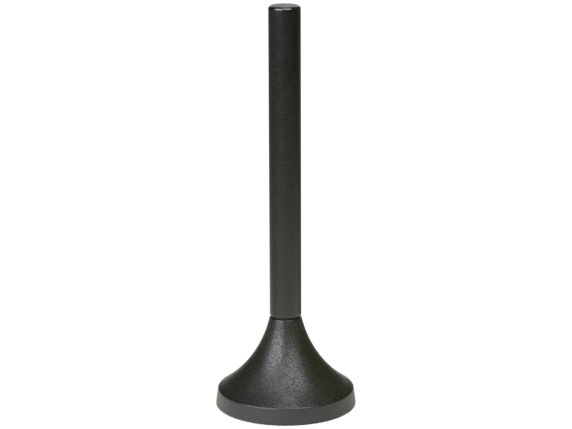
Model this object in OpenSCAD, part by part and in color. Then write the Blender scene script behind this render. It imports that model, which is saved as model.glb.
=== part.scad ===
// Magnetic mount antenna: a closed tube, with a coil-loaded rod inside, screwed
// onto a trumpet-shaped base that holds a disc magnet in a steel cup.
// The origin is on the axis, on the surface that the base stands on. +Z points
// up the mast, and the cable outlet faces +Y. Sizes are in millimetres.

/* [Mast tube] */
// Outside diameter of the mast tube
tube_d = 8.5; // [8:0.1:9.5]
// Length of the mast tube
tube_len = 84; // [74:1:110]
// Side wall of the mast tube
tube_wall = 1; // [0.8:0.05:1.1]
// Thickness of the tube's closed tip
tip_wall = 1.5; // [1:0.1:3]
// Radius of the rounded edge at the tip
tip_round = 0.5; // [0.2:0.05:0.8]
// Radius of the rounded edge at the tube's foot
foot_round = 0.4; // [0.1:0.05:0.4]

/* [Mast foot] */
// Depth that the ferrule reaches into the tube
ferrule_len = 9; // [7:0.5:12]
// Thickness of the ferrule's flange
flange_h = 0.8; // [0.5:0.1:1.2]
// How far the flange stands out past the tube's bore
flange_step = 0.35; // [0.2:0.05:0.4]
// Diameter of the screwed stud
stud_d = 4; // [3:0.1:4.2]
// Length of the stud below the tube
stud_len = 6.5; // [4:0.5:7.5]
// Thickness of the rubber washer between the mast and the base
washer_h = 0.4; // [0.3:0.05:0.8]
// How far the washer's edge is set in from the tube's side
washer_inset = 0.35; // [0.2:0.05:0.6]

/* [Radiator] */
// Diameter of the coil's copper wire
wire_d = 0.7; // [0.5:0.05:0.8]
// Whole turns in the coil
coil_turns = 14; // [8:1:18]
// Rise of the coil in one turn
coil_pitch = 1.6; // [1.2:0.1:2]
// Space between the coil and the tube's bore
coil_gap = 0.7; // [0.4:0.05:0.8]
// Thickness of the coil former's flanges
former_flange_h = 1.2; // [0.8:0.1:2]
// Diameter of the rod above the coil
rod_d = 1.6; // [1:0.1:1.8]
// Depth of the rod's seat in the coil former
rod_seat = 6; // [4:0.5:8]
// Space between the rod's top and the end of the tube's bore
rod_gap = 5; // [3:0.5:10]
// Height of the spider that centres the rod
spider_h = 5; // [3:0.5:8]

/* [Base outline] */
// Diameter of the base at its foot
base_d = 38; // [37:0.5:44]
// Height of the base from its foot to the neck's top
base_h = 24.3; // [22:0.1:28]
// Height of the upright rim
rim_h = 4.3; // [4:0.1:5]
// Lean of the rim, in degrees from upright
rim_draft = 7; // [2:0.5:8]
// How far the neck's top stands out past the tube's side
neck_step = 0; // [0:0.05:0.3]
// Slope of the neck, in degrees from upright
neck_taper = 15; // [13:0.5:20]
// Slope of the shoulder above the rim, in degrees from upright
shoulder_slope = 55.5; // [52:0.5:58]
// Radius of the hollow curve between the neck and the shoulder
flare_r = 31; // [24:1:34]
// Radius of the rounded edge between the shoulder and the rim
rim_round = 0.4; // [0.2:0.1:0.8]
// Radius of the rounded edge at the neck's top
neck_round = 0.3; // [0.1:0.05:0.5]
// Radius of the rounded edge at the rim's foot
rim_foot_round = 0.15; // [0.1:0.05:0.3]

/* [Base shell] */
// Wall of the flared part of the base
shell_wall = 1.7; // [1.4:0.1:2]
// Wall of the rim
rim_wall = 2; // [1.6:0.1:2.4]
// Wall of the tubular boss around the threaded bush
boss_wall = 1.4; // [1:0.1:1.8]
// Width of the annular space at the top of the hollow
core_gap = 1; // [0.6:0.1:1.6]
// Ribs that seat the magnet cup
rib_count = 6; // [4:2:8]
// Thickness of a rib
rib_t = 1; // [0.8:0.1:1.4]
// How far a rib reaches in from the cup's side
rib_reach = 4.5; // [3:0.5:6]

/* [Magnet] */
// Diameter of the magnet
magnet_d = 24; // [20:0.5:25]
// Thickness of the magnet
magnet_h = 3.3; // [2.6:0.1:3.5]
// Thickness of the steel cup's side and top
cup_wall = 1; // [0.8:0.1:1.2]
// Space between the magnet and the cup's side
cup_gap = 1; // [0.6:0.1:1.2]
// Radius of the cup's drawn corner
cup_round = 0.8; // [0.4:0.1:1]
// Thickness of the pad under the magnet
pad_h = 0.6; // [0.5:0.1:1]
// How far the pad stands below the rim's foot
pad_proud = 0.3; // [0.1:0.05:0.4]
// Space between the pad's edge and the rim
pad_gap = 0.2; // [0.1:0.05:0.5]

/* [Feed] */
// Diameter of the threaded bush in the neck
bush_d = 5.6; // [5.2:0.1:6.2]
// Length of the bush above its flange
bush_len = 11.5; // [9.5:0.5:12.5]
// Thickness of the bush's flange
bush_flange_h = 1; // [0.6:0.1:1.4]
// How far the bush lies below the neck's top
bush_sink = 0.3; // [0.1:0.1:0.6]
// Thickness of the solder tag
tag_t = 0.4; // [0.3:0.05:0.6]
// Width of the solder tag's tail
tag_w = 1.6; // [1.2:0.1:2.4]
// Diameter of the screw that holds the solder tag
screw_d = 2; // [1.6:0.1:2.4]
// Length of that screw under its head
screw_len = 3.5; // [2.6:0.1:3.8]
// Thickness of the split washer under the screw's head
lock_t = 0.5; // [0.3:0.05:0.6]
// Thickness of the earth plate
plate_t = 0.4; // [0.3:0.05:0.6]
// Diameter of the cable that the outlet is made for
cable_d = 2.8; // [1.8:0.1:3]
// Wall around the cable outlet
outlet_wall = 1; // [0.8:0.1:1.2]
// Length of the cable outlet
outlet_len = 9; // [7:0.5:10]
// Chamfer at the outlet's mouth
outlet_chamfer = 0.3; // [0.1:0.05:0.5]

/* [Hidden] */
$fn = 96;

// Clearances, and the most that a fillet takes of its wall
slip_gap = 0.05;
snug_gap = 0.02;
outlet_gap = 0.1;
stud_gap = 0.1;
plate_gap = 0.3;
plate_inset = 1.5;
boss_clearance = 0.1;
fillet_share = 0.7;
blend_share = 0.95;
cut = 1;

// Heights in the base
foot_z = pad_proud;
rim_z = foot_z + rim_h;
neck_z = foot_z + base_h;
cup_z = pad_h + magnet_h + cup_wall;
plate_z = cup_z + plate_t;
bush_z = neck_z - bush_sink;
seat_z = bush_z - bush_len;
flange_z = seat_z - bush_flange_h;
tag_z = flange_z - tag_t;
lock_z = tag_z - lock_t;

// Heights in the mast
mast_z = neck_z + washer_h;
ferrule_z = mast_z + ferrule_len;
tip_z = mast_z + tube_len;
bore_z = tip_z - tip_wall;
rod_z = bore_z - rod_gap;

// Radii
tube_r = tube_d / 2;
bore_r = tube_r - tube_wall;
flange_r = bore_r + flange_step;
foot_edge = min(foot_round, fillet_share * (tube_r - flange_r - slip_gap));
stud_r = stud_d / 2;
rod_r = rod_d / 2;
base_r = base_d / 2;
rim_r = base_r - rim_h * tan(rim_draft);
rim_in_r = base_r - rim_wall;
neck_r = tube_r + neck_step;
bush_r = bush_d / 2;
boss_r = bush_r + boss_wall;
magnet_r = magnet_d / 2;
cup_in_r = magnet_r + cup_gap;
cup_r = cup_in_r + cup_wall;
plate_r = cup_r - plate_inset;
outlet_r = cable_d / 2 + outlet_gap;
outlet_out_r = outlet_r + outlet_wall;
outlet_z = plate_z + boss_clearance + outlet_out_r;
outlet_in_y = base_r - outlet_len;

// The coil, its former and its route: up from the ferrule, round the former,
// through the top flange and inwards to a wrap on the rod
wire_r = wire_d / 2;
coil_r = bore_r - coil_gap - wire_r;
core_r = coil_r - wire_r - slip_gap;
former_r = bore_r - slip_gap;
bend_r = 0.8;
bend_steps = 4;
turn_steps = 16;
wire_sides = 8;
wire_sink = 2.4;
core_z = ferrule_z + former_flange_h;
helix_z = core_z + bend_r;
helix_rise = coil_turns * coil_pitch;
leg_z = helix_z + helix_rise + bend_r;
top_flange_z = leg_z + bend_r;
former_z = top_flange_z + former_flange_h;
bend_turn = bend_r / coil_r * 180 / PI;
helix_a = bend_turn;
leg_a = helix_a + 360 * coil_turns + bend_turn;
wrap_r = rod_r + wire_r + snug_gap;
wrap_a = leg_a + bend_turn;
wrap_z = former_z + bend_r;
wrap_in = 270;
wrap_on = 450;
wrap_pitch = wire_d + slip_gap;

// The flare: two straight slopes blended by an arc. A profile drawn inset from
// the outside keeps the arc's centre and has a larger radius.
function on_slope(a) = [cos(a), sin(a)];
slope_mid = (neck_taper + shoulder_slope) / 2;
slope_half = (shoulder_slope - neck_taper) / 2;
meet_z = (rim_r - neck_r + rim_z * tan(shoulder_slope) - neck_z * tan(neck_taper))
    / (tan(shoulder_slope) - tan(neck_taper));
meet = [rim_r - (meet_z - rim_z) * tan(shoulder_slope), meet_z];
straight = min(norm([neck_r, neck_z] - meet), norm([rim_r, rim_z] - meet));
blend_r = min(flare_r, blend_share * straight / tan(slope_half));
blend_c = meet + blend_r / cos(slope_half) * on_slope(slope_mid);

function neck_end(inset) = blend_c - (blend_r + inset) * on_slope(neck_taper);
function shoulder_end(inset) = blend_c - (blend_r + inset) * on_slope(shoulder_slope);
function shoulder_z(inset, r) =
    shoulder_end(inset).y - (r - shoulder_end(inset).x) / tan(shoulder_slope);
function blend_z(inset, r) =
    blend_c.y - sqrt(pow(blend_r + inset, 2) - pow(blend_c.x - r, 2));

// Rounding of a corner at p whose sides leave it along u and v
function unit(v) = v / norm(v);
function half_angle(u, v) = acos(u * v) / 2;
function round_end(p, u, v, r) = p + u * r / tan(half_angle(u, v));
function round_centre(p, u, v, r) = p + unit(u + v) * r / sin(half_angle(u, v));

// Colours
black_gloss = [0.11, 0.11, 0.10];
black_grain = [0.14, 0.14, 0.13];
rubber_black = [0.06, 0.06, 0.06];
nylon_white = [0.86, 0.85, 0.80];
copper = [0.72, 0.40, 0.22];
brass = [0.78, 0.64, 0.32];
nickel = [0.75, 0.74, 0.70];
tinned = [0.70, 0.71, 0.72];
zinc_steel = [0.62, 0.64, 0.66];
magnet_nickel = [0.66, 0.66, 0.67];

module ring(r_out, r_in, low, high) {
    translate([0, 0, low])
        difference() {
            cylinder(r = r_out, h = high - low);
            translate([0, 0, -cut])
                cylinder(r = r_in, h = high - low + 2 * cut);
        }
}

module disc(r, low, high) {
    translate([0, 0, low])
        cylinder(r = r, h = high - low);
}

// Closed tube with a rounded tip and a counterbore for the ferrule's flange
module mast_tube() {
    color(black_gloss)
        rotate_extrude()
            difference() {
                union() {
                    polygon([
                        [0, mast_z], [tube_r - foot_edge, mast_z],
                        [tube_r, mast_z + foot_edge], [tube_r, tip_z - tip_round],
                        [tube_r - tip_round, tip_z], [0, tip_z]
                    ]);
                    translate([tube_r - tip_round, tip_z - tip_round])
                        circle(r = tip_round);
                    translate([tube_r - foot_edge, mast_z + foot_edge])
                        circle(r = foot_edge);
                }
                translate([-cut, mast_z - cut])
                    square([cut + bore_r, bore_z - mast_z + cut]);
                translate([-cut, mast_z - cut])
                    square([cut + flange_r + slip_gap, flange_h + cut]);
            }
}

// Nylon spider with three arms that keeps the rod in the middle of the tube
module tip_spider() {
    hub_wall = 0.8;
    arm_t = 1;
    rod_above = 1;
    high = rod_z - rod_above;
    low = high - spider_h;
    color(nylon_white)
        difference() {
            union() {
                disc(rod_r + hub_wall, low, high);
                intersection() {
                    disc(bore_r - slip_gap, low, high);
                    for (a = [0, 120, 240])
                        rotate(a)
                            translate([0, -arm_t / 2, low])
                                cube([tube_r, arm_t, spider_h]);
                }
            }
            translate([0, 0, low - cut])
                cylinder(r = rod_r + snug_gap, h = spider_h + 2 * cut);
        }
}

module radiator_rod() {
    tip_h = 0.3;
    color(brass) {
        disc(rod_r, former_z - rod_seat, rod_z - tip_h);
        translate([0, 0, rod_z - tip_h])
            cylinder(r1 = rod_r, r2 = rod_r - tip_h, h = tip_h);
    }
}

// The wire's centreline as rows of angle, radius and height
function quarter(i) = 90 * i / bend_steps;
wire_route = concat(
    [[0, coil_r, ferrule_z - wire_sink]],
    [for (i = [0 : bend_steps])
        [bend_turn * (1 - cos(quarter(i))), coil_r, core_z + bend_r * sin(quarter(i))]],
    [for (i = [1 : coil_turns * turn_steps])
        [helix_a + 360 * i / turn_steps, coil_r, helix_z + coil_pitch * i / turn_steps]],
    [for (i = [1 : bend_steps])
        [leg_a - bend_turn * (1 - sin(quarter(i))), coil_r,
            leg_z - bend_r * cos(quarter(i))]],
    [for (i = [0 : bend_steps])
        [leg_a + bend_turn * (1 - cos(quarter(i))), coil_r,
            former_z + bend_r * sin(quarter(i))]],
    [for (i = [1 : (wrap_in + wrap_on) * turn_steps / 360])
        let (a = i * 360 / turn_steps, inward = min(a / wrap_in, 1))
            [wrap_a + a, coil_r + (wrap_r - coil_r) * inward * inward * (3 - 2 * inward),
                wrap_z + wrap_pitch * a / 360]]
);

function wire_point(p) = [p.y * cos(p.x), p.y * sin(p.x), p.z];

// Ring of points round the wire at row i, turned so that its first point faces
// away from the mast's axis
function wire_ring(i) =
    let (
        last = len(wire_route) - 1,
        before = wire_point(wire_route[max(i - 1, 0)]),
        after = wire_point(wire_route[min(i + 1, last)]),
        along = unit(after - before),
        outward = [cos(wire_route[i].x), sin(wire_route[i].x), 0],
        side = unit(outward - (outward * along) * along),
        up = cross(along, side)
    )
    [for (k = [0 : wire_sides - 1])
        let (a = 360 * k / wire_sides)
            wire_point(wire_route[i]) + wire_r * (side * cos(a) + up * sin(a))];

module loading_coil() {
    rings = len(wire_route);
    points = [for (i = [0 : rings - 1]) each wire_ring(i)];
    sides = [for (i = [0 : rings - 2], k = [0 : wire_sides - 1])
        let (a = i * wire_sides + k, b = i * wire_sides + (k + 1) % wire_sides)
            [a, a + wire_sides, b + wire_sides, b]];
    first = [for (k = [0 : wire_sides - 1]) k];
    last = [for (k = [0 : wire_sides - 1]) rings * wire_sides - 1 - k];
    color(copper)
        polyhedron(points = points, faces = concat(sides, [first], [last]));
}

// Flange of the coil former, with a slot for the wire at angle a
module former_flange(low, a) {
    difference() {
        disc(former_r, low, low + former_flange_h);
        rotate(a)
            translate([core_r + slip_gap / 2, -wire_r - slip_gap, low - cut])
                cube([tube_r, wire_d + 2 * slip_gap, former_flange_h + 2 * cut]);
    }
}

module coil_former() {
    pin_r = 0.9;
    pin_len = 2.8;
    color(nylon_white)
        difference() {
            union() {
                disc(pin_r, ferrule_z - pin_len, ferrule_z);
                disc(core_r, ferrule_z, former_z);
                former_flange(ferrule_z, 0);
                former_flange(top_flange_z, leg_a);
            }
            disc(rod_r + snug_gap, former_z - rod_seat, former_z + cut);
        }
}

// Nickelled ferrule: a grooved body in the tube, a flange and a stud
module mast_ferrule() {
    groove_h = 0.8;
    groove_depth = 0.25;
    pin_hole_r = 0.95;
    pin_hole_depth = 3;
    body_r = bore_r - slip_gap;
    chamfer = 0.5;
    color(nickel)
        difference() {
            union() {
                translate([0, 0, mast_z - stud_len])
                    cylinder(r1 = stud_r - slip_gap - chamfer, r2 = stud_r - slip_gap,
                        h = chamfer);
                disc(stud_r - slip_gap, mast_z - stud_len + chamfer, mast_z);
                disc(flange_r, mast_z, mast_z + flange_h);
                disc(body_r, mast_z + flange_h, ferrule_z);
            }
            for (i = [1, 2])
                ring(tube_r, body_r - groove_depth,
                    mast_z + flange_h + i * ferrule_len / 4,
                    mast_z + flange_h + i * ferrule_len / 4 + groove_h);
            disc(pin_hole_r, ferrule_z - pin_hole_depth, ferrule_z + cut);
            translate([coil_r, 0, 0])
                disc(wire_r + slip_gap, ferrule_z - wire_sink - slip_gap, ferrule_z + cut);
        }
}

module seal_washer() {
    color(rubber_black)
        ring(tube_r - washer_inset, stud_r + stud_gap, neck_z, mast_z);
}

// Outside of the base as half a section: foot, rim, shoulder, hollow curve and
// neck, with the edges rounded
module base_outline() {
    rim_down = unit([base_r - rim_r, -rim_h]);
    rim_up = -rim_down;
    shoulder_up = [-sin(shoulder_slope), cos(shoulder_slope)];
    neck_down = [sin(neck_taper), -cos(neck_taper)];
    inward = [-1, 0];
    foot_p = [base_r, foot_z];
    rim_p = [rim_r, rim_z];
    neck_p = [neck_r, neck_z];
    difference() {
        polygon([
            [0, foot_z],
            round_end(foot_p, inward, rim_up, rim_foot_round),
            round_end(foot_p, rim_up, inward, rim_foot_round),
            round_end(rim_p, rim_down, shoulder_up, rim_round),
            round_end(rim_p, shoulder_up, rim_down, rim_round),
            shoulder_end(0), neck_end(0),
            round_end(neck_p, neck_down, inward, neck_round),
            round_end(neck_p, inward, neck_down, neck_round),
            [0, neck_z]
        ]);
        translate(blend_c)
            circle(r = blend_r, $fn = 360);
    }
    translate(round_centre(foot_p, inward, rim_up, rim_foot_round))
        circle(r = rim_foot_round);
    translate(round_centre(rim_p, rim_down, shoulder_up, rim_round))
        circle(r = rim_round);
    translate(round_centre(neck_p, neck_down, inward, neck_round))
        circle(r = neck_round);
}

// Half a section of what lies inside the shell at a given inset: out to side_r,
// and up to the height where the space round the boss is core_gap wide
module core_outline(inset, side_r) {
    top_r = boss_r + core_gap;
    top_z = blend_z(inset, top_r);
    difference() {
        polygon([
            [0, foot_z - cut], [side_r, foot_z - cut],
            [side_r, shoulder_z(inset, side_r)], shoulder_end(inset),
            [top_r, top_z], [0, top_z]
        ]);
        translate(blend_c)
            circle(r = blend_r + inset, $fn = 360);
    }
}

// Ribs under the shoulder. Each is stepped to seat the cup's top and side, and
// its foot is level with the pad.
module cup_ribs() {
    rib_in_r = cup_r - rib_reach;
    seat_r = plate_r + plate_gap;
    side_r = cup_r + slip_gap;
    high = neck_z;
    intersection() {
        rotate_extrude()
            core_outline(shell_wall / 2, base_r - rim_wall / 2);
        for (i = [0 : rib_count - 1])
            rotate(i * 360 / rib_count)
                rotate([90, 0, 0])
                    translate([0, 0, -rib_t / 2])
                        linear_extrude(rib_t)
                            polygon([
                                [rib_in_r, plate_z + plate_gap],
                                [seat_r, plate_z + plate_gap],
                                [seat_r, cup_z], [side_r, cup_z],
                                [side_r, pad_h], [base_r, pad_h],
                                [base_r, high], [rib_in_r, high]
                            ]);
    }
}

// Nose on the shoulder that the cable leaves by: a round top on upright sides
module outlet_nose() {
    nose_in_y = outlet_in_y + outlet_out_r + outlet_wall;
    translate([0, base_r, 0])
        rotate([90, 0, 0])
            linear_extrude(base_r - nose_in_y) {
                translate([0, outlet_z])
                    circle(r = outlet_out_r);
                translate([-outlet_out_r, rim_z - rim_round])
                    square([2 * outlet_out_r, outlet_z - rim_z + rim_round]);
            }
}

// Cylinder along the cable outlet, from depth a to depth b behind the mouth
module outlet_bar(r1, r2, a, b) {
    translate([0, base_r - a, outlet_z])
        rotate([90, 0, 0])
            cylinder(r1 = r1, r2 = r2, h = b - a);
}

module base_housing() {
    color(black_grain)
        difference() {
            union() {
                difference() {
                    union() {
                        rotate_extrude()
                            base_outline();
                        outlet_nose();
                    }
                    rotate_extrude()
                        difference() {
                            core_outline(shell_wall, rim_in_r);
                            translate([-cut, seat_z])
                                square([cut + boss_r, neck_z]);
                        }
                }
                cup_ribs();
                outlet_bar(outlet_out_r, outlet_out_r, cut, outlet_len);
            }
            disc(bush_r, 0, neck_z + cut);
            outlet_bar(outlet_r, outlet_r, -cut, outlet_len + cut);
            outlet_bar(outlet_r + outlet_chamfer + cut, outlet_r, -cut, outlet_chamfer);
        }
}

// Brass bush with a flange below, a deep thread for the stud and a small one
// for the solder tag's screw
module neck_bush() {
    groove_h = 0.7;
    groove_depth = 0.3;
    run_out = 1.2;
    screw_run_out = 0.2;
    flange_inset = 0.4;
    thread_depth = stud_len + bush_sink + run_out;
    flange_out_r = boss_r - flange_inset;
    color(brass)
        difference() {
            union() {
                disc(flange_out_r, flange_z, seat_z);
                disc(bush_r, seat_z, bush_z);
            }
            for (i = [1 : 4])
                ring(boss_r, bush_r - groove_depth, seat_z + i * bush_len / 5,
                    seat_z + i * bush_len / 5 + groove_h);
            disc(stud_r, bush_z - thread_depth, bush_z + cut);
            disc(screw_d / 2, flange_z - cut, lock_z + screw_len + screw_run_out);
        }
}

// Tinned solder tag: a ring under the bush with a tail bent down
module feed_tag() {
    ring_inset = 0.2;
    tail_len = 2.4;
    ring_r = bush_r - ring_inset;
    tail_y = ring_r + tail_len;
    drop = 2.6;
    hole_r = 0.4;
    color(tinned)
        difference() {
            union() {
                disc(ring_r, tag_z, flange_z);
                translate([-tag_w / 2, 0, tag_z])
                    cube([tag_w, tail_y, tag_t]);
                translate([-tag_w / 2, tail_y - tag_t, tag_z - drop])
                    cube([tag_w, tag_t, drop + tag_t]);
            }
            disc(screw_d / 2 + slip_gap, tag_z - cut, flange_z + cut);
            translate([0, tail_y + cut, tag_z - drop + 2 * hole_r])
                rotate([90, 0, 0])
                    cylinder(r = hole_r, h = 2 * cut + tag_t);
        }
}

// Split spring washer, screwed down flat
module lock_washer() {
    split_w = 0.3;
    washer_r = 0.85 * screw_d;
    color(zinc_steel)
        difference() {
            ring(washer_r, screw_d / 2 + slip_gap, lock_z, tag_z);
            rotate(60)
                translate([0, -split_w / 2, lock_z - cut])
                    cube([screw_d, split_w, lock_t + 2 * cut]);
        }
}

// Pan-head screw with a cross recess
module feed_screw() {
    head_r = 0.95 * screw_d;
    head_h = 0.6 * screw_d;
    head_edge = 0.3;
    recess_r = 0.6 * head_r;
    recess_w = 0.45;
    recess_depth = 0.6;
    low = lock_z - head_h;
    color(zinc_steel)
        difference() {
            union() {
                translate([0, 0, low])
                    cylinder(r1 = head_r - head_edge, r2 = head_r, h = head_edge);
                disc(head_r, low + head_edge, lock_z);
                disc(screw_d / 2 - slip_gap, lock_z, lock_z + screw_len);
            }
            for (a = [0, 90])
                rotate(a)
                    translate([-recess_r, -recess_w / 2, low - cut])
                        cube([2 * recess_r, recess_w, recess_depth + cut]);
        }
}

// Tinned plate on the cup, with two upright ears that grip the cable's braid
module earth_plate() {
    ear_len = 2.4;
    ear_h = 3.6;
    ear_gap = 0.3;
    ear_back = 1.2;
    ear_x = cable_d / 2 + ear_gap;
    ear_y = outlet_in_y - ear_back - ear_len;
    hole_r = 2;
    color(tinned)
        difference() {
            union() {
                disc(plate_r, cup_z, plate_z);
                for (side = [0, 1])
                    mirror([side, 0, 0])
                        translate([ear_x, ear_y, cup_z])
                            cube([plate_t, ear_len, ear_h + plate_t]);
            }
            disc(hole_r, cup_z - cut, plate_z + cut);
        }
}

// Drawn steel cup, open downwards
module magnet_cup() {
    color(zinc_steel)
        rotate_extrude()
            difference() {
                union() {
                    polygon([
                        [0, pad_h], [cup_r, pad_h], [cup_r, cup_z - cup_round],
                        [cup_r - cup_round, cup_z], [0, cup_z]
                    ]);
                    translate([cup_r - cup_round, cup_z - cup_round])
                        circle(r = cup_round);
                }
                translate([-cut, pad_h - cut])
                    square([cut + cup_in_r, cut + magnet_h]);
            }
}

module magnet() {
    edge = 0.3;
    top_z = pad_h + magnet_h;
    color(magnet_nickel)
        rotate_extrude()
            polygon([
                [0, pad_h], [magnet_r - edge, pad_h], [magnet_r, pad_h + edge],
                [magnet_r, top_z - edge], [magnet_r - edge, top_z], [0, top_z]
            ]);
}

module base_pad() {
    edge = 0.15;
    pad_r = rim_in_r - pad_gap;
    color(rubber_black)
        rotate_extrude()
            polygon([
                [0, 0], [pad_r - edge, 0], [pad_r, edge], [pad_r, pad_h], [0, pad_h]
            ]);
}

mast_tube();
tip_spider();
radiator_rod();
loading_coil();
coil_former();
mast_ferrule();
seal_washer();
base_housing();
neck_bush();
feed_tag();
lock_washer();
feed_screw();
earth_plate();
magnet_cup();
magnet();
base_pad();
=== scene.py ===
# Looks for the magnetic mount antenna: camera, studio, the visible mouldings as
# fine surfaces, and a finish for every piece. Lengths are in metres.
import math
import bpy
import bmesh
import numpy as np
from mathutils import Matrix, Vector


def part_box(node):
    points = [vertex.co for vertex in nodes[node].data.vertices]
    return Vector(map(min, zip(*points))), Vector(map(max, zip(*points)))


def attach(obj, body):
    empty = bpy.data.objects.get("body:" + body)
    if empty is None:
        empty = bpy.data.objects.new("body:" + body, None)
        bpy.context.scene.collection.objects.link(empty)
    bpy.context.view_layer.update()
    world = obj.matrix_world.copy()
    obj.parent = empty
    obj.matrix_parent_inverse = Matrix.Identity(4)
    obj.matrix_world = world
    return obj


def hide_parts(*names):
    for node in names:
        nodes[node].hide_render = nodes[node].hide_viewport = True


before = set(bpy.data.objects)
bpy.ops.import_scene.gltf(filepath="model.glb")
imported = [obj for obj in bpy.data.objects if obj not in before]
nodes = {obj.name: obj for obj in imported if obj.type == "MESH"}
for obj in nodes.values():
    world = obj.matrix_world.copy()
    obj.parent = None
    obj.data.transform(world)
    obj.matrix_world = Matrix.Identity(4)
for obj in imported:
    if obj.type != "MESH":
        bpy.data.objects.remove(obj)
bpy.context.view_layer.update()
mm = 0.001
weld = 1e-7  # points nearer to each other than this are one point
print("frame loaded:", len(nodes), "nodes")


# Meshes

def arc(centre, radius, startDeg, endDeg, steps):
    # Circle: centre + radius * (cos a, sin a), for a in even steps from start to end
    a = np.radians(np.linspace(startDeg, endDeg, steps + 1))
    return np.stack([centre[0] + radius * np.cos(a), centre[1] + radius * np.sin(a)], 1)


def line(start, end, steps):
    # Straight: start + (end - start) * t, for t in even steps from 0 to 1
    t = np.linspace(0, 1, steps + 1)[:, None]
    return np.array(start) + (np.array(end) - np.array(start)) * t


def joined(*runs):
    # Runs of points one after another, less the points that repeat their neighbour
    points = np.concatenate([np.atleast_2d(r) for r in runs])
    apart = np.linalg.norm(np.diff(points, axis=0), axis=1) > weld
    return points[np.concatenate([[True], apart])]


def meshObject(name, points, faces):
    # Points as rows of (x, y, z) and faces as lists of point numbers, in the scene
    mesh = bpy.data.meshes.new(name)
    mesh.from_pydata(points.tolist(), [], faces)
    mesh.validate()
    piece = bpy.data.objects.new(name, mesh)
    bpy.context.scene.collection.objects.link(piece)
    return piece


def revolved(profile, turns):
    # Each (r, z) carried to (r cos a, r sin a, z), for a in even steps round the axis
    a = np.arange(turns) * 2 * math.pi / turns
    r, z = np.asarray(profile).T
    return np.stack([np.outer(r, np.cos(a)), np.outer(r, np.sin(a)),
                     np.repeat(z[:, None], turns, 1)], 2).reshape(-1, 3)


def bands(rows, turns, closed=False):
    # Quads between each row of a revolved profile and the next, and where it is
    # closed between the last row and the first too
    i, j = np.meshgrid(np.arange(rows if closed else rows - 1), np.arange(turns), indexing="ij")
    n, k = (i + 1) % rows, (j + 1) % turns
    quads = np.stack([i * turns + j, n * turns + j, n * turns + k, i * turns + k], 2)
    return quads.reshape(-1, 4).tolist()


def lathe(name, profile, turns):
    # Surface of revolution of a profile that starts and ends on the axis, where fans
    # of triangles close it
    rows = len(profile) - 2
    poles = np.array([[0, 0, profile[0, 1]], [0, 0, profile[-1, 1]]])
    j = np.arange(turns)
    k = (j + 1) % turns
    first = np.stack([np.full(turns, rows * turns), j, k], 1)
    last = np.stack([np.full(turns, rows * turns + 1), (rows - 1) * turns + k,
                     (rows - 1) * turns + j], 1)
    faces = bands(rows, turns) + first.tolist() + last.tolist()
    return meshObject(name, np.concatenate([revolved(profile[1:-1], turns), poles]), faces)


def prism(name, outline, depth, carry):
    # Straight extrusion: each outline point at depth 0 and at the given depth, put
    # in its place by carry(x, y, depth)
    count = len(outline)
    low = carry(outline[:, 0], outline[:, 1], np.zeros(count))
    high = carry(outline[:, 0], outline[:, 1], np.full(count, depth))
    i = np.arange(count)
    k = (i + 1) % count
    sides = np.stack([i, k, k + count, i + count], 1).tolist()
    faces = sides + [i[::-1].tolist(), (i + count).tolist()]
    return meshObject(name, np.concatenate([low, high]), faces)


def outwards(piece):
    # Doubles merged, then every face of a closed mesh turned outwards
    work = bmesh.new()
    work.from_mesh(piece.data)
    bmesh.ops.remove_doubles(work, verts=work.verts, dist=weld)
    bmesh.ops.recalc_face_normals(work, faces=work.faces)
    work.to_mesh(piece.data)
    work.free()
    return piece


def combine(piece, tool, operation):
    # Exact boolean of two closed meshes, applied at once
    step = piece.modifiers.new("step", "BOOLEAN")
    step.operation = operation
    step.solver = "EXACT"
    step.object = tool
    graph = bpy.context.evaluated_depsgraph_get()
    made = bpy.data.meshes.new_from_object(piece.evaluated_get(graph))
    piece.modifiers.clear()
    old = piece.data
    piece.data = made
    bpy.data.meshes.remove(old)
    bpy.data.objects.remove(tool)


def smoothed(piece, sharpDeg):
    # Smooth shading, with edges that turn more than sharpDeg kept sharp
    piece.data.polygons.foreach_set("use_smooth", np.ones(len(piece.data.polygons), bool))
    piece.data.set_sharp_from_angle(angle=math.radians(sharpDeg))
    piece.data.update()


# Node helpers

def newMaterial(name):
    # Material with its node tree and the Principled shader that stands in it
    material = bpy.data.materials.new(name)
    material.use_nodes = True
    tree = material.node_tree
    shader = tree.nodes["Principled BSDF"]
    return material, tree, shader


def add(tree, kind, **settings):
    # New node of a kind, with its settings
    node = tree.nodes.new(kind)
    for key, value in settings.items():
        setattr(node, key, value)
    return node


def join(tree, source, target):
    # Link from an output to an input
    tree.links.new(source, target)


def noise(tree, vector, scale, detail, roughness):
    # Soft noise read at vector * scale, with finer octaves over it
    node = add(tree, "ShaderNodeTexNoise")
    node.inputs["Scale"].default_value = scale
    node.inputs["Detail"].default_value = detail
    node.inputs["Roughness"].default_value = roughness
    join(tree, vector, node.inputs["Vector"])
    return node


def calculate(tree, operation, *values):
    # One sum on values that are numbers or outputs
    node = add(tree, "ShaderNodeMath", operation=operation)
    for slot, value in zip(node.inputs, values):
        if isinstance(value, (int, float)):
            slot.default_value = value
        else:
            join(tree, value, slot)
    return node.outputs["Value"]


def remap(tree, value, low, high, toLow, toHigh):
    # toLow + (toHigh - toLow) * (value - low) / (high - low), held between the two
    node = add(tree, "ShaderNodeMapRange")
    join(tree, value, node.inputs["Value"])
    for key, number in zip(("From Min", "From Max", "To Min", "To Max"),
                           (low, high, toLow, toHigh)):
        if isinstance(number, (int, float)):
            node.inputs[key].default_value = number
        else:
            join(tree, number, node.inputs[key])
    return node.outputs["Result"]


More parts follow.
